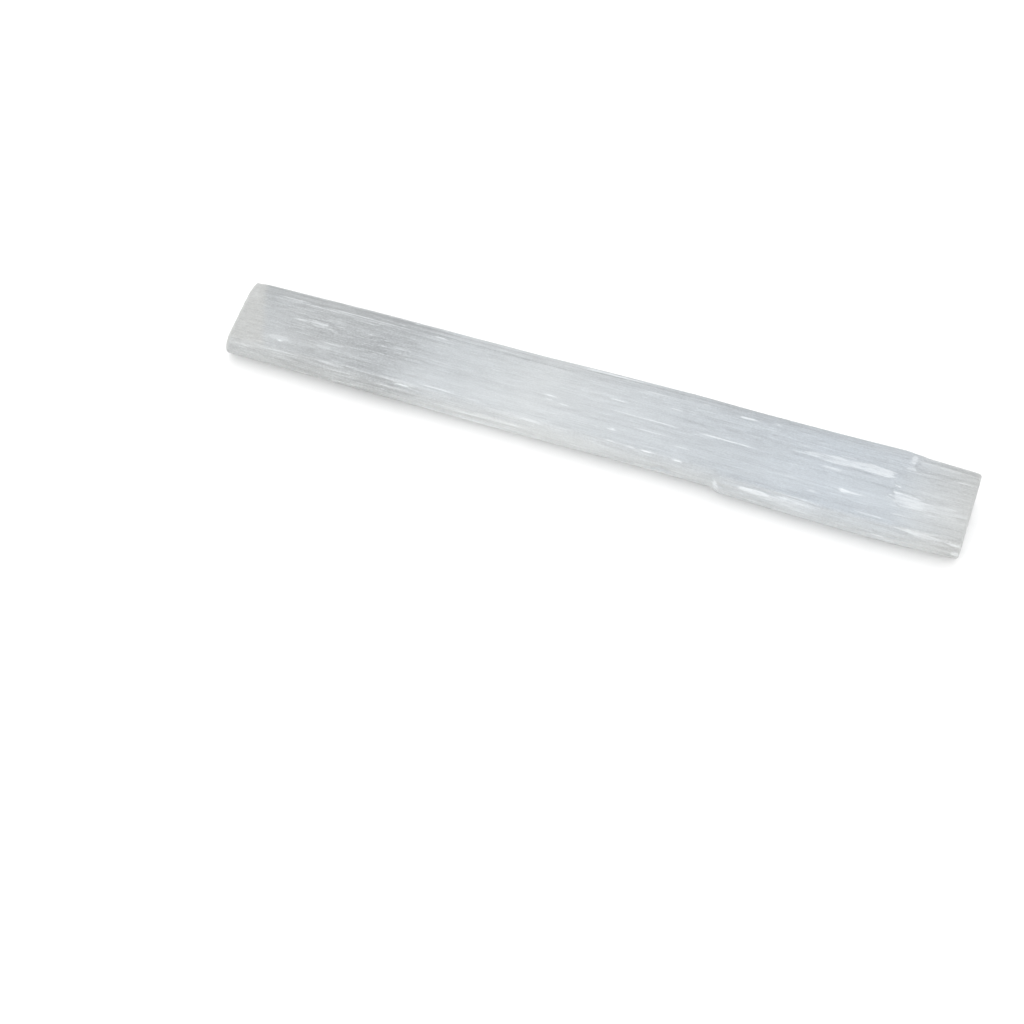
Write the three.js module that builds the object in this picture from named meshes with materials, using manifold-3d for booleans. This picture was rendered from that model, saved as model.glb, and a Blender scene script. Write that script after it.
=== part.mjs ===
// A selenite wand: one stick of satin spar, split out of its vein along the fibres and cut to length.
// Millimetres. +X runs along the fibres to the square-sawn end, +Y to the bevelled long side and +Z up.
// The stick lies on its flat cleaved underside, and the origin is under the middle of it.
import * as THREE from "three";
import { mergeVertices } from "three/addons/utils/BufferGeometryUtils.js";
import Module from "manifold-3d";

const { lerp, mapLinear, seededRandom, smoothstep } = THREE.MathUtils;

// Driving dimensions
const LENGTH = 200;
const THICKNESS = 9;
const HALF = LENGTH / 2;

// Plan of the two long sides, as [x, y] points joined by straight runs. The near side steps out where
// a long splinter has broken off short of the sawn end, and the far side steps in where one has gone.
const NEAR_STEP = { from: 36.5, to: 39.5 };
const NEAR_SIDE = [
  [-HALF, -11.65], [-50, -11.95], [NEAR_STEP.from, -11.6], [NEAR_STEP.to, -12.9],
  [62, -13.45], [84, -13.6], [94, -13.05], [HALF, -12.8],
];
const FAR_SIDE = [[-HALF, 13.2], [-58, 13.6], [18, 14.25], [81, 14.65], [87.5, 13.85], [HALF, 13.35]];

// Section: a flat underside, rounded flanks, and a top face between a shallow far bevel and a rounded
// near shoulder, which is tighter past the step
const FLANK_INSET = 7;
const FAR_BEVEL = { across: 4.6, drop: 1.9 };
const NEAR_SHOULDER = { across: 2.6, acrossPastStep: 2, drop: 4.2 };
const STEPS = { underside: 4, farFlank: 10, farBevel: 6, top: 25, nearShoulder: 8, nearFlank: 9 };

// Ends: one worn round and fallen away on top, the other sawn square with its edges just broken.
// skew and lean are how far an end goes along the stick for each millimetre across it and up it.
const WORN_END = { radius: 1.1, fall: 0.4, farReach: 4, nearReach: 8, skew: -0.13, lean: 0.17 };
const SAWN_END = { radius: 0.8, skew: 0.012, lean: 0 };

// Sections along the stick, closer together where the ends turn over
const STATION_PITCH = 5;
const CLOSEST_STATIONS = 0.03;
const TURN_STEPS = 4;

// Bundles of fibres that stand proud as ribs or have sunk as furrows
const RIB_COUNT = 64;
const RIB_SEED = 11;
const RIB_HALF_WIDTH = [0.7, 2.1];
const RIB_HEIGHT = [-0.2, 0.24];
const RIB_LENGTH = [45, 190];
const RIB_FADE = 16;
const RIB_FREE_HEIGHT = 3;

// Slow swells of the top face along the stick
const SWELL = { height: 0.16, length: 83 };

// Lens-shaped scars where a sliver sprang off. lean turns one about the fibres, from the top to a side.
const SCALLOPS = [
  { x: 67.5, y: 2.9, z: THICKNESS, halfLength: 13.5, halfWidth: 1.6, depth: 0.4, lean: 0 },
  { x: 53.5, y: -12.5, z: THICKNESS - 1, halfLength: 10, halfWidth: 1.2, depth: 0.35, lean: 1 },
  { x: 90, y: -12.6, z: THICKNESS - 1, halfLength: 7, halfWidth: 1.1, depth: 0.35, lean: 1 },
  { x: 69.8, y: -6.4, z: THICKNESS, halfLength: 4.5, halfWidth: 0.7, depth: 0.2, lean: 0 },
  { x: -48, y: -10.9, z: THICKNESS - 0.8, halfLength: 6, halfWidth: 0.8, depth: 0.25, lean: 0.85 },
  { x: -62, y: 13.5, z: 4.9, halfLength: 17, halfWidth: 1.6, depth: 0.6, lean: -1.6 },
  { x: 34, y: 13.8, z: 3.8, halfLength: 12, halfWidth: 1.4, depth: 0.6, lean: -1.8 },
  { x: -22, y: -11.5, z: 4.2, halfLength: 20, halfWidth: 1.3, depth: 0.5, lean: 1.7 },
  { x: -38, y: 3.2, z: 0, halfLength: 24, halfWidth: 1.7, depth: 0.5, lean: Math.PI },
  { x: 42, y: -4, z: 0, halfLength: 30, halfWidth: 1.4, depth: 0.5, lean: Math.PI },
];
// Height of the sliver's whole ball over the depth of its scar, and the facets of that ball
const SLIVER_BELLY = 3;
const SLIVER_FACETS = { round: 20, poleToPole: 16 };

// Layers split off the top near the sawn end: an outline in plan, how deep it breaks in and the angle
// at which it runs out. An outline runs past the edges that it leaves open.
const PAST_EDGE = 3;
const RAGGED_FLAKE = {
  outline: [
    [HALF - 1, 0.4], [80.2, 1.6], [81.4, 0.3], [79.8, -0.8], [81, -2.3],
    [79.9, -3.5], [82.2, -4.7], [83, -6.2], [HALF - 2, -4.6],
  ],
  depth: 0.35,
  runOut: 0.02,
};
const SIDE_STRIP = {
  outline: [
    [HALF + PAST_EDGE, 13 + PAST_EDGE], [84.2, 13 + PAST_EDGE], [85, 10.4], [84, 8.4],
    [85.8, 6.6], [HALF + PAST_EDGE, 7.4],
  ],
  depth: 0.35,
  runOut: 0,
};

// Small chips knocked out of the edges, longer along the fibres than across
const CHIP_RADIUS = 1;
const CHIP_DETAIL = 1;
const CHIPS = [
  { x: 38.6, y: -13.1, z: 6, stretch: 2.2 },
  { x: HALF, y: -12.7, z: 7.8, stretch: 1.6 },
  { x: HALF, y: -7.5, z: 0.2, stretch: 2 },
  { x: -41.5, y: 12.9, z: 8, stretch: 3 },
  { x: 24, y: -11.9, z: 5, stretch: 3.4 },
];

const wasm = await Module();
wasm.setup();

// A closed geometry as a solid that can be cut.
function solidOf(geometry) {
  geometry.deleteAttribute("normal");
  geometry.deleteAttribute("uv");
  const shared = mergeVertices(geometry);
  const mesh = new wasm.Mesh({
    numProp: 3,
    vertProperties: shared.getAttribute("position").array,
    triVerts: new Uint32Array(shared.getIndex().array),
  });
  return new wasm.Manifold(mesh);
}

// A solid as a geometry with flat faces.
function geometryOf(solid) {
  const mesh = solid.getMesh();
  const shared = new THREE.BufferGeometry();
  shared.setAttribute("position", new THREE.BufferAttribute(mesh.vertProperties, mesh.numProp));
  shared.setIndex(new THREE.BufferAttribute(mesh.triVerts, 1));
  const faceted = shared.toNonIndexed();
  faceted.computeVertexNormals();
  return faceted;
}

// The y of a long side at x.
function sideAt(side, x) {
  const next = Math.max(side.findIndex((point) => point[0] >= x), 1);
  const from = side[next - 1];
  const to = side[next];
  return mapLinear(x, from[0], to[0], from[1], to[1]);
}

// Points from one corner towards the next, the last left for the run that follows.
function straightRun(from, to, steps) {
  return Array.from({ length: steps }, (_, i) => {
    const part = i / steps;
    return [lerp(from[0], to[0], part), lerp(from[1], to[1], part)];
  });
}

// Points of a quarter ellipse about a centre, from one angle a quarter turn on.
function quarterRun(centre, radii, start, steps) {
  return Array.from({ length: steps }, (_, i) => {
    const angle = start + (i / steps) * (Math.PI / 2);
    return [centre[0] + radii[0] * Math.cos(angle), centre[1] + radii[1] * Math.sin(angle)];
  });
}

// The smooth section at x as [y, z] points, from the near foot round by the far side and back.
function sectionAt(x) {
  const near = sideAt(NEAR_SIDE, x);
  const far = sideAt(FAR_SIDE, x);
  const top = THICKNESS + SWELL.height * Math.sin((2 * Math.PI * x) / SWELL.length);
  const farEdge = top - FAR_BEVEL.drop;
  const nearEdge = top - NEAR_SHOULDER.drop;
  const farRidge = [far - FAR_BEVEL.across, top];
  const pastStep = smoothstep(x, NEAR_STEP.from, NEAR_STEP.to);
  const shoulder = lerp(NEAR_SHOULDER.across, NEAR_SHOULDER.acrossPastStep, pastStep);
  const farCentre = [far - FLANK_INSET, farEdge];
  const nearCentre = [near + FLANK_INSET, nearEdge];
  const shoulderCentre = [near + shoulder, nearEdge];
  return [
    ...straightRun([nearCentre[0], 0], [farCentre[0], 0], STEPS.underside),
    ...quarterRun(farCentre, [FLANK_INSET, farEdge], -Math.PI / 2, STEPS.farFlank),
    ...straightRun([far, farEdge], farRidge, STEPS.farBevel),
    ...straightRun(farRidge, [shoulderCentre[0], top], STEPS.top),
    ...quarterRun(shoulderCentre, [shoulder, NEAR_SHOULDER.drop], Math.PI / 2, STEPS.nearShoulder),
    ...quarterRun(nearCentre, [FLANK_INSET, nearEdge], Math.PI, STEPS.nearFlank),
  ];
}

// Distance round the middle section to each of its points.
function girthOf(section) {
  let girth = 0;
  return section.map((point, i) => {
    const before = section[Math.max(i - 1, 0)];
    girth += Math.hypot(point[0] - before[0], point[1] - before[1]);
    return girth;
  });
}

// The ribs and furrows, each at a place round the girth and between two ends along the stick.
function growRibs(girth) {
  seededRandom(RIB_SEED);
  return Array.from({ length: RIB_COUNT }, () => {
    const length = lerp(...RIB_LENGTH, seededRandom());
    const start = lerp(-HALF - length / 2, HALF - length / 2, seededRandom());
    return {
      at: seededRandom() * girth,
      halfWidth: lerp(...RIB_HALF_WIDTH, seededRandom()),
      height: lerp(...RIB_HEIGHT, seededRandom()),
      start,
      end: start + length,
    };
  });
}

// How far the ribs lift the surface at a place round the girth and along the stick.
function ribLift(ribs, at, x) {
  return ribs.reduce((lift, rib) => {
    const across = Math.max(1 - ((at - rib.at) / rib.halfWidth) ** 2, 0);
    const fadeIn = smoothstep(x, rib.start, rib.start + RIB_FADE);
    const fadeOut = smoothstep(-x, -rib.end, RIB_FADE - rib.end);
    return lift + rib.height * fadeIn * fadeOut * across ** 2;
  }, 0);
}

// A section with its ribs. They fade out towards the underside, which stays flat.
function ribbedSection(x, girths, ribs) {
  const section = sectionAt(x);
  return section.map(([y, z], i) => {
    const before = section.at(i - 1);
    const after = section[(i + 1) % section.length];
    const tangent = new THREE.Vector2(after[0] - before[0], after[1] - before[1]).normalize();
    const lift = ribLift(ribs, girths[i], x) * smoothstep(z, 0, RIB_FREE_HEIGHT);
    return [y + lift * tangent.y, z - lift * tangent.x];
  });
}

// How far a rounded edge has pulled a section in, at a distance from the end.
function turnIn(radius, distance) {
  return radius - Math.sqrt(radius ** 2 - Math.max(radius - distance, 0) ** 2);
}

// x of every section: an even pitch, each step of the long sides, and a few close to both ends.
function stations() {
  const pitches = Math.ceil(LENGTH / STATION_PITCH) - 1;
  const even = Array.from({ length: pitches }, (_, i) => -HALF + (i + 1) * STATION_PITCH);
  const turns = Array.from({ length: TURN_STEPS }, (_, i) => 1 - Math.cos((i / TURN_STEPS) * (Math.PI / 2)));
  const ends = turns.flatMap((turn) => [-HALF + WORN_END.radius * turn, HALF - SAWN_END.radius * turn]);
  const steps = [...NEAR_SIDE, ...FAR_SIDE].map((point) => point[0]);
  const sorted = [...even, ...ends, ...steps].sort((a, b) => a - b);
  return sorted.filter((x, i) => i === 0 || x - sorted[i - 1] > CLOSEST_STATIONS);
}

// One ring of the blank: a ribbed section turned in at the ends, fallen away at the worn one and slanted.
function ringAt(x, girths, ribs) {
  const fromWorn = x + HALF;
  const fromSawn = HALF - x;
  const inset = turnIn(WORN_END.radius, fromWorn) + turnIn(SAWN_END.radius, fromSawn);
  const middle = (sideAt(NEAR_SIDE, x) + sideAt(FAR_SIDE, x)) / 2;
  const halfWidth = (sideAt(FAR_SIDE, x) - sideAt(NEAR_SIDE, x)) / 2;
  const halfHeight = THICKNESS / 2;
  const skew = lerp(WORN_END.skew, SAWN_END.skew, fromWorn / LENGTH);
  const lean = lerp(WORN_END.lean, SAWN_END.lean, fromWorn / LENGTH);
  return ribbedSection(x, girths, ribs).map(([y, z]) => {
    const across = (y - middle) / halfWidth;
    const reach = lerp(WORN_END.nearReach, WORN_END.farReach, (across + 1) / 2);
    const fall = WORN_END.fall * (1 - smoothstep(fromWorn, 0, reach)) * (z / THICKNESS);
    const pulledY = middle + (y - middle) * (1 - inset / halfWidth);
    const pulledZ = halfHeight + (z - halfHeight) * (1 - inset / halfHeight);
    const slant = skew * pulledY + lean * (pulledZ - halfHeight);
    return new THREE.Vector3(x + slant, pulledY, pulledZ - fall);
  });
}

// The point in the middle of a ring.
function middleOf(ring) {
  const sum = ring.reduce((total, point) => total.add(point), new THREE.Vector3());
  return sum.divideScalar(ring.length);
}

// The stick before anything broke off it, skinned over its rings and closed at both ends.
function blank() {
  const girths = girthOf(sectionAt(0));
  const ribs = growRibs(girths.at(-1));
  const rings = stations().map((x) => ringAt(x, girths, ribs));
  const around = rings[0].length;
  const points = rings.flat();
  const faces = [];
  for (let ring = 0; ring < rings.length - 1; ring++) {
    for (let i = 0; i < around; i++) {
      const a = ring * around + i;
      const b = ring * around + ((i + 1) % around);
      faces.push(a, b, a + around, b, b + around, a + around);
    }
  }
  for (const end of [0, rings.length - 1]) {
    const hub = points.length;
    points.push(middleOf(rings[end]));
    for (let i = 0; i < around; i++) {
      const a = end * around + i;
      const b = end * around + ((i + 1) % around);
      faces.push(...(end === 0 ? [hub, b, a] : [hub, a, b]));
    }
  }
  const geometry = new THREE.BufferGeometry().setFromPoints(points);
  return solidOf(geometry.setIndex(faces));
}

// The sliver that left a scallop: a flattened ball sunk into the surface to the depth of the scar.
function sliver({ x, y, z, halfLength, halfWidth, depth, lean }) {
  const belly = SLIVER_BELLY * depth;
  const foot = Math.sqrt(1 - (1 - depth / belly) ** 2);
  const ball = new THREE.SphereGeometry(1, SLIVER_FACETS.round, SLIVER_FACETS.poleToPole);
  ball.scale(halfLength / foot, halfWidth / foot, belly);
  ball.translate(0, 0, belly - depth);
  ball.rotateX(lean);
  ball.translate(x, y, z);
  return solidOf(ball);
}

// A layer lifted off the top: its outline pushed up through the surface from the depth it breaks in at.
function layer({ outline, depth, runOut }) {
  const shape = new THREE.Shape(outline.map(([x, y]) => new THREE.Vector2(x, y)));
  const slab = new THREE.ExtrudeGeometry(shape, { depth: THICKNESS, bevelEnabled: false });
  const breakX = Math.min(...outline.map((point) => point[0]));
  slab.translate(-breakX, 0, 0);
  slab.rotateY(-runOut);
  slab.translate(breakX, 0, THICKNESS - depth);
  return solidOf(slab);
}

// A chip out of an edge.
function chip({ x, y, z, stretch }) {
  const stone = new THREE.IcosahedronGeometry(CHIP_RADIUS, CHIP_DETAIL);
  stone.scale(stretch, 1, 1);
  stone.translate(x, y, z);
  return solidOf(stone);
}

// The stick with everything that broke off it taken away.
function wandSolid() {
  const lost = [...SCALLOPS.map(sliver), ...[RAGGED_FLAKE, SIDE_STRIP].map(layer), ...CHIPS.map(chip)];
  return lost.reduce((stick, piece) => stick.subtract(piece), blank());
}

const satinSpar = new THREE.MeshStandardMaterial({
  color: 0xd3d8dc,
  roughness: 0.42,
  metalness: 0,
  flatShading: true,
});

const wand = new THREE.Mesh(geometryOf(wandSolid()), satinSpar);
wand.name = "wand";
wand.geometry.computeBoundingBox();
const { min, max } = wand.geometry.boundingBox;
wand.position.set(-(min.x + max.x) / 2, -(min.y + max.y) / 2, -min.z);

const part = new THREE.Group();
part.add(wand);

export default part;
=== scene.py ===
# %% [markdown]
# # A selenite wand
# This lesson dresses one stick of satin spar, the fibrous gypsum that is sold as selenite. The solid
# part is already made, so the lesson starts from it as a fixed frame: its shape gives the places, and
# Blender gives what the solid leaves out: the finer fibres, the bruises and the milky light in it.

# %% Load the solid as the frame
import itertools
import math

import bpy
import numpy as np
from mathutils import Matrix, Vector
from mathutils.bvhtree import BVHTree


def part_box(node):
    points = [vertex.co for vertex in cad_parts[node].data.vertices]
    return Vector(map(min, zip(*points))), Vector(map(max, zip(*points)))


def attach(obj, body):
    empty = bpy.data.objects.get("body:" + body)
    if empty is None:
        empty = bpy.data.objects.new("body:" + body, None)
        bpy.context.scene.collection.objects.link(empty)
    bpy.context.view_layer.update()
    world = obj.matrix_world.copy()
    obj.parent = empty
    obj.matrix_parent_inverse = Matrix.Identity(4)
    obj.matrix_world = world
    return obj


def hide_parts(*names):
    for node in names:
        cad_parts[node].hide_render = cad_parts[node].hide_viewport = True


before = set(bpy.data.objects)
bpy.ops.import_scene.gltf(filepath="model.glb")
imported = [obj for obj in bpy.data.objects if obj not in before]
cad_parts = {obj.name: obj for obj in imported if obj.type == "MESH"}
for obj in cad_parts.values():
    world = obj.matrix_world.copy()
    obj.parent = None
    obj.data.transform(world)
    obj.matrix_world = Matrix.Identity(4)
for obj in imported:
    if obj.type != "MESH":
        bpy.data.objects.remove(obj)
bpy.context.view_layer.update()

MM = 0.001
wand_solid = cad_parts["wand"]
low, high = (np.array(corner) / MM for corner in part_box("wand"))
length, width, thickness = high - low
print(f"wand solid: {length:.1f} x {width:.1f} x {thickness:.1f} mm")

# %% [markdown]
# ## The camera
# The stick lies flat and the photographer stood above its near side, a little to the right, so that the
# sawn end comes towards us. A camera is easiest to set by an aim point, a direction and a distance. The
# stick sits high in the picture, so the aim point is in front of it, just above the floor.

# %% Place the camera
LENS_MM = 60
VIEW_AZIMUTH = math.radians(20.8)
VIEW_ELEVATION = math.radians(50)
VIEW_DISTANCE = 421 * MM
VIEW_AIM = Vector((-5.25, -38.67, 5.0)) * MM
NEAREST_SEEN = 10 * MM


def towards(azimuth, elevation):
    """The direction from the object to something at that azimuth and height, with azimuth 0 in front."""
    flat = math.cos(elevation)
    return Vector((math.sin(azimuth) * flat, -math.cos(azimuth) * flat, math.sin(elevation)))


def link(name, data):
    """Puts new data in the scene as an object."""
    thing = bpy.data.objects.new(name, data)
    bpy.context.scene.collection.objects.link(thing)
    return thing


camera = link("camera", bpy.data.cameras.new("camera"))
camera.data.lens = LENS_MM
camera.data.clip_start = NEAREST_SEEN
camera.location = VIEW_AIM + towards(VIEW_AZIMUTH, VIEW_ELEVATION) * VIEW_DISTANCE
camera.rotation_euler = (VIEW_AIM - camera.location).to_track_quat("-Z", "Y").to_euler()
bpy.context.scene.camera = camera
print("camera at", [round(x, 3) for x in camera.location])

# %% [markdown]
# ## Colours and nodes
# Colours are easiest to name as the hex values that a picture editor shows. Blender mixes light in
# linear numbers, so one function turns the hex into linear. A second function adds any shader node with
# its settings, and takes a plain value or another node's output for each input.


# %% Two helpers for materials
def linear(hex_colour):
    """An sRGB hex colour such as "d3d8dc" as linear red, green, blue and alpha."""
    parts = [int(hex_colour[i:i + 2], 16) / 255 for i in (0, 2, 4)]
    return [p / 12.92 if p <= 0.04045 else ((p + 0.055) / 1.055) ** 2.4 for p in parts] + [1.0]


def add_node(tree, kind, inputs=None, **settings):
    """Adds a node with its settings. An input is a value, or an output socket to link from."""
    node = tree.nodes.new(kind)
    for name, value in settings.items():
        setattr(node, name, value)
    for name, value in (inputs or {}).items():
        if isinstance(value, bpy.types.NodeSocket):
            tree.links.new(value, node.inputs[name])
        else:
            node.inputs[name].default_value = value
    return node


print("a milky white in linear:", [round(x, 3) for x in linear("d3d8dc")])

# %% [markdown]
# ## Floor and light
# Half-clear stone shows best in a light tent, where white comes from all sides and from the white paper
# below, so no side falls dark. A sky of even white does that. A low soft box in front lights the near
# flank as much as the top, and a weak one behind is mirrored in the silk of the fibres.

# %% Lay the paper
# Half the side of the paper, in metres
FLOOR_HALF = 2.0
PAPER_WHITE = "fafafa"
PAPER_ROUGHNESS = 0.9

corners = [(x * FLOOR_HALF, y * FLOOR_HALF, 0) for x, y in ((-1, -1), (1, -1), (1, 1), (-1, 1))]
floor_mesh = bpy.data.meshes.new("floor")
floor_mesh.from_pydata(corners, [], [(0, 1, 2, 3)])
floor = link("floor", floor_mesh)

# Matt white paper: it gives no mirror image, only an even white and a soft shadow
paper = bpy.data.materials.new("matt_white_paper")
paper.use_nodes = True
paper_shader = paper.node_tree.nodes["Principled BSDF"]
paper_shader.inputs["Base Color"].default_value = linear(PAPER_WHITE)
paper_shader.inputs["Roughness"].default_value = PAPER_ROUGHNESS
floor_mesh.materials.append(paper)
print("floor is", 2 * FLOOR_HALF, "m square")

# %% Set up the light
SKY_STRENGTH = 1.15


def soft_box(name, azimuth, elevation, distance, size, watts, colour):
    """A square area light that faces the stick. Its angles are in degrees, its lengths in metres."""
    lamp = link(name, bpy.data.lights.new(name, "AREA"))
    lamp.data.shape = "SQUARE"
    lamp.data.size = size
    lamp.data.energy = watts
    lamp.data.color = linear(colour)[:3]
    lamp.location = towards(math.radians(azimuth), math.radians(elevation)) * distance
    lamp.rotation_euler = (-lamp.location).to_track_quat("-Z", "Y").to_euler()


soft_box("back_box", azimuth=195, elevation=52, distance=0.9, size=0.8, watts=1.5, colour="fafcff")
soft_box("front_box", azimuth=-15, elevation=28, distance=1.0, size=0.8, watts=3, colour="ffffff")

world = bpy.data.worlds.new("light_tent")
bpy.context.scene.world = world
world.use_nodes = True
sky = world.node_tree.nodes["Background"]
sky.inputs["Color"].default_value = linear("ffffff")
sky.inputs["Strength"].default_value = SKY_STRENGTH
# The plain view transform keeps white paper white
bpy.context.scene.view_settings.view_transform = "Standard"

# %% [markdown]
# ## A sleeve over the solid
# The solid has long flat facets. Subdividing them would give points in the wrong places, so a new skin
# is drawn over it. A flat ribbon runs down the middle of the stick, and from it rays go out to the
# surface all round, at many places along the length. Where each ray leaves the solid there is a point of
# the sleeve. Its lines then run along the fibres, and every ledge and scar of the solid is followed.

# %% Set out the rays of one ring
CORE_INSET = 6.0
CORE_HEIGHT = 4.4
UNDER_POINTS = 64
TOP_POINTS = 130
FAN_POINTS = 88
RING_POINTS = UNDER_POINTS + TOP_POINTS + 2 * FAN_POINTS

core_near = low[1] + CORE_INSET
core_far = high[1] - CORE_INSET
under = np.linspace(core_near, core_far, UNDER_POINTS, endpoint=False)
top = np.linspace(core_far, core_near, TOP_POINTS, endpoint=False)
fan = np.linspace(-math.pi / 2, math.pi / 2, FAN_POINTS, endpoint=False)

# Along the underside, round the far side, back along the top and round the near side
ray_y = np.concatenate([
    under,
    np.full(FAN_POINTS, core_far),
    top,
    np.full(FAN_POINTS, core_near),
])
ray_angle = np.concatenate([
    np.full(UNDER_POINTS, -math.pi / 2),
    fan,
    np.full(TOP_POINTS, math.pi / 2),
    fan + math.pi,
])
print(f"one ring has {RING_POINTS} rays, from a core {core_far - core_near:.1f} mm wide")

# %% [markdown]
# The rings should stand parallel to the ends, or the last one would be cut through by the end face. Both
# ends are slanted a little, so four rays along the stick find the plane of each, and every ring takes a
# slant between the two.

# %% Find the ends
END_PROBE = 2.0

solid_mesh = wand_solid.data
surface = BVHTree.FromPolygons(
    [v.co for v in solid_mesh.vertices],
    [p.vertices for p in solid_mesh.polygons],
)


def first_hit(origin, direction):
    """Where a ray from inside the stick leaves it, in millimetres."""
    hit = surface.ray_cast(Vector(origin) * MM, Vector(direction))[0]
    return np.array(hit) / MM


def end_plane(direction):
    """An end of the stick as its x on the core at y = 0, and its slant for each millimetre across and up."""
    near = first_hit((0, core_near, CORE_HEIGHT), direction)
    far = first_hit((0, core_far, CORE_HEIGHT), direction)
    lower = first_hit((0, 0, CORE_HEIGHT - END_PROBE), direction)
    upper = first_hit((0, 0, CORE_HEIGHT + END_PROBE), direction)
    skew = (far[0] - near[0]) / (far[1] - near[1])
    lean = (upper[0] - lower[0]) / (upper[2] - lower[2])
    return near[0] - skew * near[1], skew, lean


worn_x, worn_skew, worn_lean = end_plane((-1, 0, 0))
sawn_x, sawn_skew, sawn_lean = end_plane((1, 0, 0))
print(f"worn end at {worn_x:.2f} mm, slant {worn_skew:.3f} across and {worn_lean:.3f} up")
print(f"sawn end at {sawn_x:.2f} mm, slant {sawn_skew:.3f} across and {sawn_lean:.3f} up")

# %% Set out the stations
STATIONS = 238
FINE_STEPS = 4000
END_CLEARANCE = 0.04
# Where the stations crowd together for a ledge or an end: x, reach and gain
CROWDED = [(worn_x, 2.5, 6.0), (sawn_x, 1.0, 8.0), (39.0, 2.5, 2.0), (83.0, 3.5, 3.5)]

fine_x = np.linspace(worn_x + END_CLEARANCE, sawn_x - END_CLEARANCE, FINE_STEPS)
crowding = 1 + sum(gain * np.exp(-((fine_x - x) / reach) ** 2) for x, reach, gain in CROWDED)
share = np.cumsum(crowding) - crowding[0]
station_x = np.interp(np.linspace(0, 1, STATIONS), share / share[-1], fine_x)
station_skew = np.interp(station_x, [worn_x, sawn_x], [worn_skew, sawn_skew])
station_lean = np.interp(station_x, [worn_x, sawn_x], [worn_lean, sawn_lean])
print(f"{STATIONS} stations, {np.diff(station_x).min():.2f} to {np.diff(station_x).max():.2f} mm apart")

# %% Cast the rays
origins = np.empty((STATIONS, RING_POINTS, 3))
origins[:, :, 0] = station_x[:, None] + station_skew[:, None] * ray_y[None, :]
origins[:, :, 1] = ray_y
origins[:, :, 2] = CORE_HEIGHT
rays = np.empty_like(origins)
rays[:, :, 1] = np.cos(ray_angle)
rays[:, :, 2] = np.sin(ray_angle)
rays[:, :, 0] = station_skew[:, None] * rays[:, :, 1] + station_lean[:, None] * rays[:, :, 2]

sleeve = np.array([
    [first_hit(origin, ray) for origin, ray in zip(ring_origins, ring_rays)]
    for ring_origins, ring_rays in zip(origins, rays)
])
print("sleeve reaches from", sleeve.min((0, 1)).round(2), "to", sleeve.max((0, 1)).round(2))

# %% [markdown]
# The facets of the solid still show in the sleeve as faint flats. Averaging each point with its
# neighbours takes them out, but it would also round off the ledges. So a point may only move a twentieth
# of a millimetre, once round the ring and once along the stick. That is enough for a flat, and leaves a
# ledge nearly as sharp as it was.

# %% Smooth away the facets
FACET_SAG = 0.05
ROUNDS_ACROSS = 24
ROUNDS_ALONG = 3
TINY = 1e-9


def averaged(grid, rounds, along):
    """The grid with each point moved towards its neighbours, round the ring or along the stick."""
    out = grid.copy()
    for _ in range(rounds):
        if along:
            out[1:-1] = (out[:-2] + 2 * out[1:-1] + out[2:]) / 4
        else:
            out = (np.roll(out, 1, axis=1) + 2 * out + np.roll(out, -1, axis=1)) / 4
    return out


def moved_at_most(start, goal, most):
    """Start moved towards goal, but no further than most."""
    step = goal - start
    size = np.linalg.norm(step, axis=-1, keepdims=True)
    return start + step * np.minimum(1, most / np.maximum(size, TINY))


smooth = moved_at_most(sleeve, averaged(sleeve, ROUNDS_ACROSS, along=False), FACET_SAG)
smooth = moved_at_most(smooth, averaged(smooth, ROUNDS_ALONG, along=True), FACET_SAG)


def outward(grid):
    """The unit normal of the sleeve at each of its points."""
    round_ring = np.roll(grid, -1, axis=1) - np.roll(grid, 1, axis=1)
    along_stick = np.gradient(grid, axis=0)
    normal = np.cross(round_ring, along_stick)
    normal /= np.maximum(np.linalg.norm(normal, axis=-1, keepdims=True), TINY)
    return normal * np.sign(np.sum(normal * rays, axis=-1, keepdims=True))


normals = outward(smooth)
print("largest move:", np.linalg.norm(smooth - sleeve, axis=-1).max().round(3), "mm")

# %% [markdown]
# A place on the stick is easiest to give as two numbers: x along it, and the distance round the surface
# from the middle of the top, plus towards the far side and minus towards the near side. So each point of
# the sleeve gets its distance round, added up from point to point.

# %% Measure round the stick
TOP_MIDDLE = UNDER_POINTS + FAN_POINTS + TOP_POINTS // 2

ring_steps = np.linalg.norm(np.roll(smooth, -1, axis=1) - smooth, axis=-1)
girth = np.cumsum(ring_steps, axis=1) - ring_steps
around = girth[:, TOP_MIDDLE, None] - girth
print(f"round the stick: {around.min():.1f} mm by the near side to {around.max():.1f} mm by the far side")

# %% [markdown]
# ## Fibres
# Satin spar is a bundle of gypsum fibres, each far thinner than a hair. What the eye sees is bundles of
# them: low ridges a few tenths of a millimetre to some millimetres wide, running for centimetres. A noise
# whose cells are long in X and small across gives such ridges, and as it fills the whole body its lines
# stay straight where a side steps in or out. Several sizes are added, and the finest is the lowest. Every
# noise in the lesson has a seed of its own, so that no two run alike.

# %% A noise with long cells
# Large odd numbers and shifts that scramble whole numbers, so that cells side by side get unlike values
CELL_MIX = np.array([73856093, 19349663, 83492791])
SEED_MIX, LAST_MIX = 40503, 1274126177
FIRST_SHIFT, LAST_SHIFT = 13, 16
SIXTEEN_BITS = 0xFFFF


def lattice_value(cell, seed):
    """A repeatable number from 0 to 1 for each whole-number cell."""
    mixed = np.bitwise_xor.reduce(cell * CELL_MIX, axis=-1) ^ seed * SEED_MIX
    mixed = (mixed ^ mixed >> FIRST_SHIFT) * LAST_MIX
    return ((mixed ^ mixed >> LAST_SHIFT) & SIXTEEN_BITS) / SIXTEEN_BITS


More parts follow.
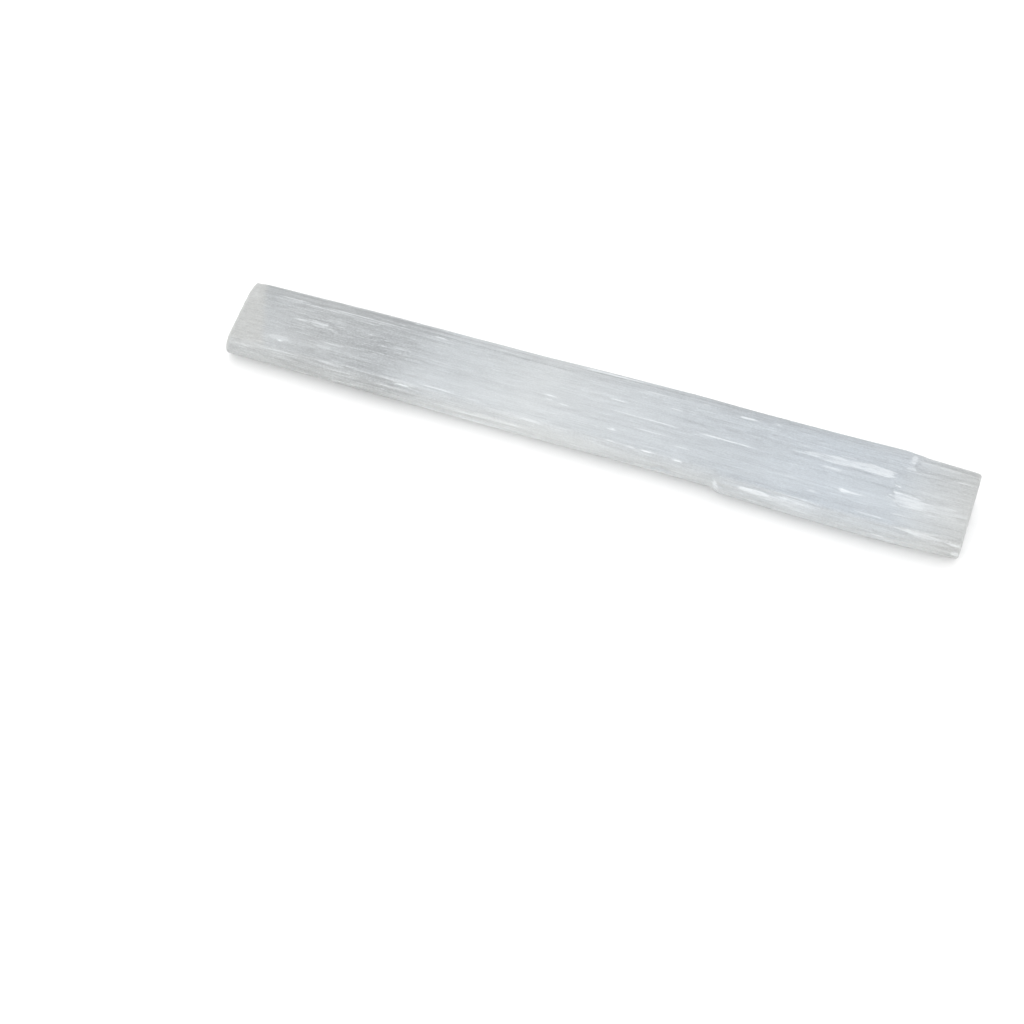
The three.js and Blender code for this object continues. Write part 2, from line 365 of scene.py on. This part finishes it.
def fibre_noise(points, across, along, seed):
    """Smooth noise from -1 to 1, with cells that many millimetres across and along the fibres."""
    scaled = points / np.array([along, across, across])
    cell = np.floor(scaled).astype(np.int64)
    part = scaled - cell
    # Eased in and out, so that the edges of the cells don't show
    part = part * part * (3 - 2 * part)
    total = np.zeros(points.shape[:-1])
    for corner in itertools.product((0, 1), repeat=3):
        weight = np.prod(np.where(corner, part, 1 - part), axis=-1)
        total += weight * lattice_value(cell + np.array(corner), seed)
    return 2 * total - 1


along_a_fibre = np.array([[0, 0, 0], [5, 0, 0], [10, 0, 0]])
print("noise along a fibre:", fibre_noise(along_a_fibre, across=1, along=20, seed=0).round(2))

# %% Raise the fibre bundles
# Each size of bundle: millimetres across, millimetres along, height in millimetres
BUNDLES = [(2.6, 70, 0.03), (1.2, 40, 0.03), (0.6, 22, 0.03), (0.36, 12, 0.02)]
bundle_height = sum(
    height * fibre_noise(smooth, across, along, seed)
    for seed, (across, along, height) in enumerate(BUNDLES, start=1)
)
print("fibre bundles stand", bundle_height.min().round(3), "to", bundle_height.max().round(3), "mm")

# %% [markdown]
# Here and there a whole splinter has lifted or come away. It is a narrow strip with a straight run, and
# it stops short at one end where it snapped, while the other end thins out. A few hundred of them, with
# sizes and places from a seeded generator, break the even lines of the fibres.

# %% Lift and sink the splinters
SPLINTERS = 260
SPLINTER_SEED = 5
SPLINTER_LENGTH = (5, 38)
SPLINTER_HALF_WIDTH = (0.25, 0.8)
SPLINTER_HEIGHT = (-0.09, 0.07)
SNAP_LENGTH = 0.9
LEFT_SNAPS = 0.5

chance = np.random.default_rng(SPLINTER_SEED)
splinter_height = np.zeros(around.shape)
for _ in range(SPLINTERS):
    place = chance.uniform(around.min(), around.max())
    run_length = chance.uniform(*SPLINTER_LENGTH)
    start = chance.uniform(worn_x - run_length / 2, sawn_x - run_length / 2)
    half_width = chance.uniform(*SPLINTER_HALF_WIDTH)
    height = chance.uniform(*SPLINTER_HEIGHT)
    snaps_left = chance.random() < LEFT_SNAPS
    from_snap = station_x - start if snaps_left else start + run_length - station_x
    along = np.clip(from_snap / SNAP_LENGTH, 0, 1) * np.clip(1 - from_snap / run_length, 0, 1)
    # Flat in the middle, with sides that slope over the outer half
    across = np.clip(2 - 2 * np.abs(around - place) / half_width, 0, 1)
    splinter_height += height * np.sqrt(along)[:, None] * across
print("splinters stand", splinter_height.min().round(3), "to", splinter_height.max().round(3), "mm")

# %% Move the sleeve by both
# The underside rests on the floor, so nothing there may come out of it
FACING_DOWN = -0.7

relief = bundle_height + splinter_height
relief = np.where(normals[:, :, 2] < FACING_DOWN, np.minimum(relief, 0), relief)
skin = smooth + normals * relief[:, :, None]
skin[:, :, 2] = np.maximum(skin[:, :, 2], 0)
print("skin reaches from", skin.min((0, 1)).round(2), "to", skin.max((0, 1)).round(2))

# %% [markdown]
# ## Closing the ends
# Both ends show the fibres end on. The last ring is drawn in towards the core in a dozen steps, and the
# points of those inner rings move a little in or out, so that each fibre bundle ends at its own level. The
# saw has also left its lines on its end, which run up and down. What stays open is a narrow slot.

# %% Draw in the last rings
# How far in towards the core each step goes, and the last share of the way, over which it evens out
CAP_SHARES = np.linspace(0.07, 0.995, 12)
EVEN_SLOT = 0.1
# What breaks up an end face: how it follows x, y and z, millimetres across, and depth in millimetres
FIBRE_ENDS = ((0, 1, 1), 0.6, 0.03)
BUNDLE_ENDS = ((0, 1, 1), 1.9, 0.06)
SAW_LINES = ((0, 1, 0.06), 0.5, 0.03)
WORN_BULGE = 0.4


def cap_rings(ring, core, outwards, bulge, patterns):
    """The rings that close an end, from its edge in to the core."""
    closing = []
    for share_in in CAP_SHARES:
        inner = ring + (core - ring) * share_in
        level = sum(
            depth * fibre_noise(inner * np.array(follows), across, across, seed)
            for seed, (follows, across, depth) in enumerate(patterns, start=21)
        )
        dome = bulge * math.sqrt(1 - (1 - share_in) ** 2)
        # Even at the edge and at the slot, so that neither shows as a crack
        broken_up = min(1, share_in / CAP_SHARES[1], (1 - share_in) / EVEN_SLOT)
        inner[:, 0] += outwards * (dome + level * broken_up)
        closing.append(inner)
    return closing


worn_cap = cap_rings(skin[0], origins[0], -1, WORN_BULGE, [FIBRE_ENDS, BUNDLE_ENDS])
sawn_cap = cap_rings(skin[-1], origins[-1], 1, 0, [FIBRE_ENDS, BUNDLE_ENDS, SAW_LINES])
rings = np.array(worn_cap[::-1] + list(skin) + sawn_cap)
print(f"{len(rings)} rings of {RING_POINTS} points")

# %% Join the rings into one closed mesh
ring_count = len(rings)
index = np.arange(ring_count * RING_POINTS).reshape(ring_count, RING_POINTS)
following = np.roll(index, -1, axis=1)
quads = np.stack([index[:-1], following[:-1], following[1:], index[1:]], axis=-1).reshape(-1, 4)
# The slot in each end is one face with many corners
faces = [tuple(corners) for corners in quads.tolist()]
faces += [tuple(index[0, ::-1].tolist()), tuple(index[-1].tolist())]
wand_mesh = bpy.data.meshes.new("satin_spar_wand")
wand_mesh.from_pydata((rings.reshape(-1, 3) * MM).tolist(), [], faces)
wand_mesh.validate()
wand_mesh.update()
wand = link("satin_spar_wand", wand_mesh)
wand_mesh.shade_smooth()
triangles = sum(len(p.vertices) - 2 for p in wand_mesh.polygons)
print(f"skin: {len(wand_mesh.vertices)} points, {triangles} triangles")

# %% [markdown]
# ## Bruises
# Where gypsum is struck or split, its fibres part and the gaps scatter light, so the half-clear stone turns
# chalk white. Such marks are narrow and lie along the fibres. They could be painted in the shader, but there
# they are hard to steer, so each is placed one by one and kept as a number on the points of the skin. A
# bruise is made of strands: each breaks off at its own length, and its sides fray.

# %% Place the bruises and a painted rim highlight
# Each bruise in millimetres: x of its middle, its distance round, half its length and half its width. Its
# strength comes last.
BRUISES_AND_RIM_HIGHLIGHT = {
    "far bevel": [
        (-86, 8.3, 8, 0.32, 0.58), (-70, 7.4, 18, 0.28, 0.45), (-64, 8.2, 17, 0.32, 0.55),
        (-54.5, 9.4, 1, 0.5, 0.5), (-51.5, 12.2, 1, 0.5, 0.5), (-43.5, 8.3, 2, 0.3, 0.6),
        # The long mark along the far rim, at x 3.5 mm and 12.9 mm round, is a painted highlight on that
        # edge, not a bruise
        (-13, 8.6, 3, 0.3, 0.3), (3.5, 12.9, 10.5, 0.6, 0.5), (30, 10, 1, 0.5, 0.4),
        (41.5, 8.9, 3, 0.5, 0.6), (49, 9.7, 1, 0.5, 0.5),
    ],
    "top, worn end": [
        (-92, 2.8, 0.5, 0.4, 0.4), (-83, -8.2, 1.2, 0.45, 0.65), (-84, -7, 3.5, 0.9, 0.25),
        (-80.5, 1.2, 3, 0.6, 0.42), (-75.5, 1.6, 3, 0.7, 0.45), (-74, 0.4, 5, 0.4, 0.35),
        (-71, -6.3, 2, 0.9, 0.25), (-69, -4.6, 4, 0.4, 0.35), (-61, 2.4, 0.9, 0.4, 0.45),
        (-57, -4, 0.8, 0.4, 0.5), (-37.5, -9.7, 5.5, 0.3, 0.6), (-27, -10, 3, 0.3, 0.5),
    ],
    "top, middle": [
        (-8.5, -1.5, 2, 0.35, 0.6), (-8.5, -2.8, 1.5, 0.3, 0.42), (-4.5, -3.3, 1.5, 0.35, 0.42),
        (5.5, -7.7, 0.8, 0.5, 0.5), (10, -7.2, 1.2, 0.5, 0.6), (8.5, 2.9, 2.5, 0.3, 0.42),
        (16.5, -0.8, 9.5, 0.25, 0.6), (20.5, -4.8, 6.5, 0.3, 0.65), (23, 5.1, 2, 0.3, 0.5),
        (28.5, -7, 3, 0.3, 0.45), (39, -0.6, 9, 0.3, 0.58),
    ],
    "top, sawn end": [
        (57, 5.1, 3, 0.25, 0.4), (69, 5.1, 3, 0.25, 0.5), (65.5, -0.2, 3.5, 0.45, 0.4),
        (55.5, -6.5, 5, 0.3, 0.3), (62.5, -9.2, 1.5, 0.45, 0.4), (71, -6.4, 4, 0.35, 0.5),
        (69.5, -6.4, 1.3, 0.55, 0.65), (91.5, -7.1, 2, 0.25, 0.4),
    ],
    "scar on the top": [
        (57, 2.4, 3, 0.4, 0.35), (65.5, 2.2, 6.5, 0.35, 0.65), (64, 2.9, 8, 0.85, 0.4),
        (71.5, 3.3, 9.3, 1.3, 0.42), (77.5, 3.1, 3.4, 1.2, 0.45),
    ],
    "ragged flake": [
        (82, 0, 1, 0.4, 0.6), (82.4, -2.2, 1.4, 0.5, 0.5), (85.5, -4.2, 4.8, 2, 0.42),
        (91, -4.3, 8.5, 1.9, 0.24), (90, -1, 8, 1.2, 0.15),
    ],
    "side strip": [
        (84, 10.6, 0.8, 2, 0.4), (84, 6.7, 1.5, 0.5, 0.35), (88, 6.7, 3, 0.35, 0.3),
        (97, 6.3, 2.5, 0.35, 0.45),
    ],
    "near shoulder": [
        (-80.5, -11.4, 5.5, 0.32, 0.45), (-67, -11.2, 5, 0.4, 0.34), (-46.5, -11.5, 3, 0.3, 0.75),
        (10.5, -10.9, 1.2, 0.3, 0.7), (16, -11, 1.2, 0.3, 0.5), (20.5, -11.1, 2, 0.35, 0.72),
        (28.5, -11.2, 1.6, 0.35, 0.7), (77.5, -11.7, 4, 0.5, 0.35),
    ],
    "near flank": [
        (-51.5, -14, 1, 0.35, 0.4), (-18.5, -15.7, 5.5, 0.3, 0.35), (2.5, -14.8, 5, 0.25, 0.35),
        (38.8, -14.2, 0.7, 1, 0.42), (39.3, -15.9, 0.6, 0.9, 0.36), (49, -14, 5.5, 0.65, 0.45),
        (54, -14.4, 8, 1.1, 0.28), (60, -13.7, 7, 0.6, 0.36), (80.5, -16.8, 2, 0.4, 0.4),
        (90.5, -13.4, 6.5, 0.6, 0.38), (98.5, -13.6, 2, 0.45, 0.5), (99.5, -16, 1, 0.8, 0.4),
    ],
}
print("bruises:", {where: len(marks) for where, marks in BRUISES_AND_RIM_HIGHLIGHT.items()})

# %% [markdown]
# The small knocks between them need no place of their own. A seeded generator strews them over the whole
# stick, the sides and the underside too, most of them short and faint.

# %% Strew the small knocks
KNOCKS = 170
KNOCK_SEED = 11
KNOCK_HALF_LENGTH = (0.4, 5)
KNOCK_HALF_WIDTH = (0.15, 0.4)
KNOCK_STRENGTH = (0.1, 0.38)

chance = np.random.default_rng(KNOCK_SEED)
knock_limits = [
    (worn_x, sawn_x), (around.min(), around.max()), KNOCK_HALF_LENGTH, KNOCK_HALF_WIDTH, KNOCK_STRENGTH,
]
knocks = [[chance.uniform(*limits) for limits in knock_limits] for _ in range(KNOCKS)]
print(KNOCKS, "knocks, the longest", round(2 * max(knock[2] for knock in knocks), 1), "mm")

# %% Whiten the skin at the bruises
# Noise cells across and along, and how much of it shows: in the sides, the ends and between the strands
FRAYED_SIDE = (0.5, 5, 0.5)
BROKEN_END = (0.35, 80, 0.35)
STRAND_GAP = (0.3, 7, 0.5)
# The outline fades over this many millimetres
SOFT_RIM = 0.22
# Whiter than this counts as seen
SEEN = 0.1

skin_mm = rings.reshape(-1, 3)
cap_count = len(CAP_SHARES)


def on_all_rings(station_values):
    """Values of the stations as one list for the whole skin, where a cap takes those of its edge."""
    return np.pad(station_values, ((cap_count, cap_count), (0, 0)), mode="edge").reshape(-1)


skin_round = on_all_rings(around)
side, reach, strand = (
    1 + much * fibre_noise(skin_mm, across, along, seed)
    for seed, (across, along, much) in enumerate((FRAYED_SIDE, BROKEN_END, STRAND_GAP), start=31)
)
bruise_and_highlight = np.zeros(len(skin_mm))
for x, place, half_length, half_width, strength in itertools.chain(*BRUISES_AND_RIM_HIGHLIGHT.values(), knocks):
    along = (skin_mm[:, 0] - x) / (half_length * reach)
    across = (skin_round - place) / (half_width * side)
    # The higher power along the stick keeps the ends blunt
    from_rim = half_width * (1 - np.sqrt(across ** 2 + along ** 4))
    inside = np.clip(from_rim / SOFT_RIM, 0, 1)
    bruise_and_highlight = np.maximum(bruise_and_highlight, strength * inside * np.minimum(1, strand))
print(f"bruises and knocks show on {100 * np.mean(bruise_and_highlight > SEEN):.1f} % of the points")

# %% [markdown]
# ## Worn edges
# Every sharp edge of so soft a stone is rubbed white in places. How sharply the skin bends at a point is
# found from its neighbours on both sides: on an edge, the middle between them lies below the point. The
# fibre noise breaks the wear into lengths, as handling never rubs an edge evenly.

# %% Rub the edges white
WEAR_REACH = 4
WEAR_BEND = (0.05, 0.25)
WEAR_PATCH = {"across": 3, "along": 13}
# Added to the noise, so that rather more than half of the length is rubbed
WEAR_BIAS = 0.2
WEAR_STRENGTH = 0.4

point_normals = np.empty(3 * len(skin_mm))
wand_mesh.vertex_normals.foreach_get("vector", point_normals)
point_normals = point_normals.reshape(-1, 3)
between = (np.roll(rings, WEAR_REACH, axis=1) + np.roll(rings, -WEAR_REACH, axis=1)) / 2
bend = np.sum((rings - between).reshape(-1, 3) * point_normals, axis=1)
rubbed = np.clip((bend - WEAR_BEND[0]) / (WEAR_BEND[1] - WEAR_BEND[0]), 0, 1)
patch = np.clip(WEAR_BIAS + fibre_noise(skin_mm, **WEAR_PATCH, seed=41), 0, 1)
wear = WEAR_STRENGTH * rubbed * patch * strand
print(f"wear shows on {100 * np.mean(wear > SEEN):.1f} % of the points")

# %% Chalk on the ends
# The saw crushed the fibre ends to chalk, more on some bundles than on others and in the blade's lines.
# The worn end has been rubbed smooth again, and has little chalk.
SAWN_CHALK, WORN_CHALK = 0.4, 0.2
# As for the depths above: how the chalk follows x, y and z, millimetres across, and how much
FINE_CHALK = [((0, 1, 1), 1.1, 0.07), ((0, 1, 1), 0.5, 0.12)]
SAW_CHALK = [((0, 1, 1), 2.6, 0.08), ((0, 1, 0.05), 0.4, 0.12)]


def end_chalk(base, patterns):
    """How white the crushed fibre ends are, for all points of the skin."""
    return base + sum(
        much * fibre_noise(skin_mm * np.array(follows), across, across, seed)
        for seed, (follows, across, much) in enumerate(patterns, start=71)
    )


ring_number = np.repeat(np.arange(ring_count), RING_POINTS)
on_worn_end = ring_number < cap_count
# The sawn end takes in the ring at its edge, because the saw leaves the edge crisp and white too
on_sawn_end = ring_number >= ring_count - cap_count - 1
white = np.maximum(bruise_and_highlight, wear)
white[on_worn_end] = end_chalk(WORN_CHALK, FINE_CHALK)[on_worn_end]
white[on_sawn_end] = end_chalk(SAWN_CHALK, FINE_CHALK + SAW_CHALK)[on_sawn_end]
white = np.clip(white, 0, 1)
worn_share, sawn_share = white[on_worn_end].mean(), white[on_sawn_end].mean()
print(f"chalk: {worn_share:.2f} on the worn end, {sawn_share:.2f} on the sawn end")

# %% [markdown]
# ## Milk, painted light and sheen
# Satin spar is not evenly clear. Some bundles are full of tiny gaps and look milky, others are nearly glassy
# and look grey, and along the stick the milk comes and goes over centimetres. That slow change along the
# stick is partly painted light: a lighter middle, and painted shade towards the worn end. The top has a
# cold, bluish tone that the flanks and the ends have less of; on the top it is a painted sheen of the light
# from above. Both are slow changes, so they are numbers on the points as well.

# %% Share out the milk with its painted light, and the cold tone with its painted sheen
# Along the stick: x in millimetres and the share of milk or of cold tone there. The milk here is partly
# painted light, lighter in the middle and painted shade towards the worn end.
MILK_AND_PAINTED_LIGHT_ALONG = [
    (-100, 0.33), (-88, 0.43), (-56, 0.22), (-41, 0.56), (-14, 0.71), (38, 0.55), (88, 0.6), (100, 0.5),
]
COLD_ALONG = [(-100, 0.5), (-75, 0.4), (-38, 0.6), (-12, 0.45), (64, 1), (82, 0.9), (90, 0.5), (100, 0.2)]
# Round the stick: the distance round and the milk that is added there
MILK_ROUND = [(-16, 0.02), (-12.5, -0.05), (-7, 0.08), (2.5, -0.06), (9, -0.08)]
# Bundles that are milkier or clearer than the rest: millimetres across, along, and how much
MILKY_BUNDLES = [(5, 60, 0.06), (1.6, 45, 0.05), (0.7, 24, 0.05)]
# How much of the top's cold tone a flank or an end keeps: the extra cold on the top is a painted bluish
# sheen of the light from above
FLANK_SHARE_OF_COLD_SHEEN = 0.4

# The milk along the stick is partly painted light: lighter in the middle, painted shade towards the worn end
milk_and_painted_light = np.interp(skin_mm[:, 0], *zip(*MILK_AND_PAINTED_LIGHT_ALONG)) + np.interp(skin_round, *zip(*MILK_ROUND))
for seed, (across, along, much) in enumerate(MILKY_BUNDLES, start=51):
    milk_and_painted_light += much * fibre_noise(skin_mm, across, along, seed)
cold_and_sheen = np.interp(skin_mm[:, 0], *zip(*COLD_ALONG))
# Painted sheen: the more a point faces up, the colder it is
cold_and_sheen *= FLANK_SHARE_OF_COLD_SHEEN + (1 - FLANK_SHARE_OF_COLD_SHEEN) * np.clip(point_normals[:, 2], 0, 1)
print(f"milk {milk_and_painted_light.min():.2f} to {milk_and_painted_light.max():.2f}, cold tone {cold_and_sheen.min():.2f} to {cold_and_sheen.max():.2f}")

# %% [markdown]
# Two places differ from the rest. The bevel on the far side is a clean split with strong lines in it, and it
# is made darker: partly the clearer stone of a clean split, partly painted shade. The worn end is rubbed to
# a duller, warmer tone, up to a slanting line across the top. That line frays along the fibres, as all
# boundaries in this stone do.

# %% Clear and shade the far face and dull the worn end
# The far face is where the skin leans this much to the far side; its loss of milk makes it darker, partly as
# clearer stone and partly as painted shade
FAR_FACE_CLEAR_AND_SHADED = {"from": 0.15, "to": 0.25, "loss": 0.1}
FACE_LINES = {"across": 0.5, "along": 60}
# Its lines fade towards the sawn end: x and contrast
FACE_LINE_CONTRAST = [(10, 0.3), (45, 0.17)]
RUBBED_END = {"x": -91.5, "slant": -0.42, "soft": 1.6, "milk_and_painted_light": 0.46, "warm": 0.85}
LINE_FRAY = {"across": 0.8, "along": 60}
LINE_FRAY_REACH = 0.7
HALF_ON_LINE = 0.5

far_lean = on_all_rings(normals[:, :, 1])
facing_far = np.clip((far_lean - FAR_FACE_CLEAR_AND_SHADED["from"]) / (FAR_FACE_CLEAR_AND_SHADED["to"] - FAR_FACE_CLEAR_AND_SHADED["from"]), 0, 1)
lines = np.interp(skin_mm[:, 0], *zip(*FACE_LINE_CONTRAST)) * fibre_noise(skin_mm, **FACE_LINES, seed=61)
# Painted shade on the far face, with its real lines
milk_and_painted_light -= (FAR_FACE_CLEAR_AND_SHADED["loss"] + lines) * facing_far
past_line = RUBBED_END["x"] + RUBBED_END["slant"] * skin_mm[:, 1] - skin_mm[:, 0]
past_line += LINE_FRAY_REACH * fibre_noise(skin_mm, **LINE_FRAY, seed=62)
# The top and the end face are rubbed, and the flanks are not
faces_wear = np.clip(point_normals[:, 2] - point_normals[:, 0], 0, 1) ** 2
dulled = np.clip(HALF_ON_LINE + past_line / RUBBED_END["soft"], 0, 1) * faces_wear
milk_and_painted_light += (RUBBED_END["milk_and_painted_light"] - milk_and_painted_light) * dulled
cold_and_sheen *= 1 - RUBBED_END["warm"] * dulled
print(f"clear face: {100 * facing_far.mean():.1f} % of the skin, dulled: {100 * dulled.mean():.1f} %")

# %% [markdown]
# On an end face the strands are seen end on, as dots finer than a pixel, so they show less there.
# One more number tells the shader how much the skin runs along the fibres.

# %% Keep the numbers on the points
END_ON_CONTRAST = 0.4

lengthwise = np.clip(1 - np.abs(point_normals[:, 0]), END_ON_CONTRAST, 1)
for name, values in {"white": white, "milk_and_painted_light": milk_and_painted_light, "cold_and_sheen": cold_and_sheen, "lengthwise": lengthwise}.items():
    mask = wand_mesh.attributes.new(name, "FLOAT", "POINT")
    mask.data.foreach_set("value", values.astype(np.float32))
    print(f"{name}: {values.min():.2f} to {values.max():.2f}, {values.mean():.2f} on average")

# %% [markdown]
# ## Satin spar
# Satin spar is fibrous gypsum: soft, milky and half clear, with a silky sheen across the fibres. It is
# split and not polished, so it is neither glossy nor chalky. Gypsum's index of refraction is 1.52. Some
# of the light goes through the stone, and the rest is scattered back by the fibres, so the shader is part
# transmission and part soft scattering. The finest fibres are drawn here, as noise with long thin cells.

# %% Draw the fine fibres
# Each pattern: cell size across and along the fibres in millimetres, detail, the range of the noise that
# is used and what it is turned into. A single fibre is a few hundredths of a millimetre, far below a
# pixel, so these are strands of many fibres.
FIBRE_PATTERNS = {
    "line": (0.31, 18, 2, (0.3, 0.7), (-0.12, 0.12)),
    "thread": (0.24, 6, 1, (0.3, 0.7), (-0.16, 0.16)),
    "grain": (0.3, 0.5, 1, (0.3, 0.7), (-0.18, 0.18)),
    "dash": (0.28, 4.5, 1, (0.62, 0.74), (0, 0.28)),
    "speck": (0.36, 0.7, 1, (0.72, 0.8), (0, 0.32)),
    "gap": (0.26, 3.5, 1, (0.3, 0.7), (-0.5, 0.9)),
    "groove": (0.25, 9, 2, (0, 1), (0, 1)),
}

spar = bpy.data.materials.new("satin_spar_split")
spar.use_nodes = True
tree = spar.node_tree
shader = tree.nodes["Principled BSDF"]
on_stick = add_node(tree, "ShaderNodeTexCoord").outputs["Object"]
fibres = {}
for name, (across, along, detail, used, turned_into) in FIBRE_PATTERNS.items():
    stretch = Vector((1 / along, 1 / across, 1 / across)) / MM
    cells = add_node(tree, "ShaderNodeMapping", {"Vector": on_stick, "Scale": stretch}).outputs[0]
    noise = add_node(tree, "ShaderNodeTexNoise", {"Vector": cells, "Scale": 1, "Detail": detail})
    limits = dict(zip(("From Min", "From Max", "To Min", "To Max"), used + turned_into))
    ranged = add_node(tree, "ShaderNodeMapRange", {"Value": noise.outputs["Fac"], **limits})
    fibres[name] = ranged.outputs[0]
print("fibre patterns:", list(fibres))

# %% Mix the body colour
# The cold colours are also the painted bluish sheen on the top
CLEAR_WARM, CLEAR_COLD_AND_SHEEN = linear("aeafad"), linear("a5abb1")
MILKY_WARM, MILKY_COLD_AND_SHEEN = linear("dbdcda"), linear("d2d9df")
CHALK = linear("f2f5f7")

# A milky strand stands out more in clear stone, so the contrast falls as the milk rises
LITTLE_MILK, MUCH_MILK = 0.2, 0.7
CLEAR_CONTRAST, MILKY_CONTRAST = 1.5, 0.62

milk_and_painted_light_mask, white_mask, cold_and_sheen_mask, lengthwise_mask = (
    add_node(tree, "ShaderNodeAttribute", attribute_name=name).outputs["Fac"]
    for name in ("milk_and_painted_light", "white", "cold_and_sheen", "lengthwise")
)
strands = fibres["line"]
for name in ("thread", "grain", "dash"):
    strands = add_node(tree, "ShaderNodeMath", {0: strands, 1: fibres[name]}, operation="ADD").outputs[0]
contrast = add_node(tree, "ShaderNodeMapRange", {
    "Value": milk_and_painted_light_mask, "From Min": LITTLE_MILK, "From Max": MUCH_MILK,
    "To Min": CLEAR_CONTRAST, "To Max": MILKY_CONTRAST,
}).outputs[0]
contrast = add_node(tree, "ShaderNodeMath", {0: contrast, 1: lengthwise_mask},
                    operation="MULTIPLY").outputs[0]
# The painted light along the stick comes in with the milk
milkier_and_painted_light = add_node(tree, "ShaderNodeMath", {0: strands, 1: contrast, 2: milk_and_painted_light_mask},
                   operation="MULTIPLY_ADD").outputs[0]
# Faint bruises and the rims of strong ones break up into strands, and the middle of a strong one closes
CLOSING = 2.0
closed = add_node(tree, "ShaderNodeMath", {0: white_mask, 1: CLOSING, 2: fibres["gap"]},
                  operation="MULTIPLY_ADD", use_clamp=True).outputs[0]
whiter = add_node(tree, "ShaderNodeMath", {0: white_mask, 1: closed, 2: fibres["speck"]},
                  operation="MULTIPLY_ADD", use_clamp=True).outputs[0]

# The sockets of a Mix node that mixes colours, which share their names with those for other kinds of mix
FACTOR, FIRST, SECOND, MIXED = 0, 6, 7, 2
clear = add_node(tree, "ShaderNodeMix", {FACTOR: cold_and_sheen_mask, FIRST: CLEAR_WARM, SECOND: CLEAR_COLD_AND_SHEEN},
                 data_type="RGBA").outputs[MIXED]
milky = add_node(tree, "ShaderNodeMix", {FACTOR: cold_and_sheen_mask, FIRST: MILKY_WARM, SECOND: MILKY_COLD_AND_SHEEN},
                 data_type="RGBA").outputs[MIXED]
body = add_node(tree, "ShaderNodeMix", {FACTOR: milkier_and_painted_light, FIRST: clear, SECOND: milky},
                data_type="RGBA").outputs[MIXED]
body = add_node(tree, "ShaderNodeMix", {FACTOR: whiter, FIRST: body, SECOND: CHALK},
                data_type="RGBA").outputs[MIXED]
tree.links.new(body, shader.inputs["Base Color"])
print("satin spar has", len(tree.nodes), "nodes so far")

# %% [markdown]
# Clear bundles let more light through than milky ones, and bruises let through hardly any. A bruise is
# also rougher. Fine grooves between the strands are too shallow for the mesh, so they are a bump. The
# sheen of a fibrous stone spreads across the fibres, so the highlight is stretched round the stick.

# %% Give it depth and silk
GYPSUM_IOR = 1.52
CLEAR_TRANSMISSION, MILKY_TRANSMISSION = 0.4, 0.15
SILK_ROUGHNESS, CHALK_ROUGHNESS = 0.45, 0.65
GROOVE = {"Strength": 0.5, "Distance": 0.03 * MM}
SCATTER_SHARE = 0.5
SCATTER_DEPTH = 1.5 * MM
# Red, green and blue go equally deep
SCATTER_SPREAD = (1.0, 1.0, 1.0)
SILK_STRETCH = 0.5

see_through = add_node(tree, "ShaderNodeMapRange", {
    "Value": milkier_and_painted_light, "To Min": CLEAR_TRANSMISSION, "To Max": MILKY_TRANSMISSION,
}).outputs[0]
unbruised = add_node(tree, "ShaderNodeMath", {0: 1.0, 1: whiter}, operation="SUBTRACT").outputs[0]
see_through = add_node(tree, "ShaderNodeMath", {0: see_through, 1: unbruised}, operation="MULTIPLY")
tree.links.new(see_through.outputs[0], shader.inputs["Transmission Weight"])
roughness = add_node(tree, "ShaderNodeMapRange", {
    "Value": whiter, "To Min": SILK_ROUGHNESS, "To Max": CHALK_ROUGHNESS,
})
tree.links.new(roughness.outputs[0], shader.inputs["Roughness"])
groove_depth = add_node(tree, "ShaderNodeMath", {0: fibres["groove"], 1: lengthwise_mask},
                        operation="MULTIPLY").outputs[0]
groove = add_node(tree, "ShaderNodeBump", {"Height": groove_depth, **GROOVE})
tree.links.new(groove.outputs[0], shader.inputs["Normal"])
round_stick = add_node(tree, "ShaderNodeTangent", direction_type="RADIAL", axis="X")
tree.links.new(round_stick.outputs[0], shader.inputs["Tangent"])
shader.inputs["Anisotropic"].default_value = SILK_STRETCH
shader.inputs["IOR"].default_value = GYPSUM_IOR
shader.inputs["Subsurface Weight"].default_value = SCATTER_SHARE
shader.inputs["Subsurface Radius"].default_value = SCATTER_SPREAD
shader.inputs["Subsurface Scale"].default_value = SCATTER_DEPTH
wand_mesh.materials.append(spar)
print("satin spar has", len(tree.nodes), "nodes")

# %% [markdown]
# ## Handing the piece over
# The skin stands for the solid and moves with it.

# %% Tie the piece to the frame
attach(wand, "root")
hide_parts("wand")
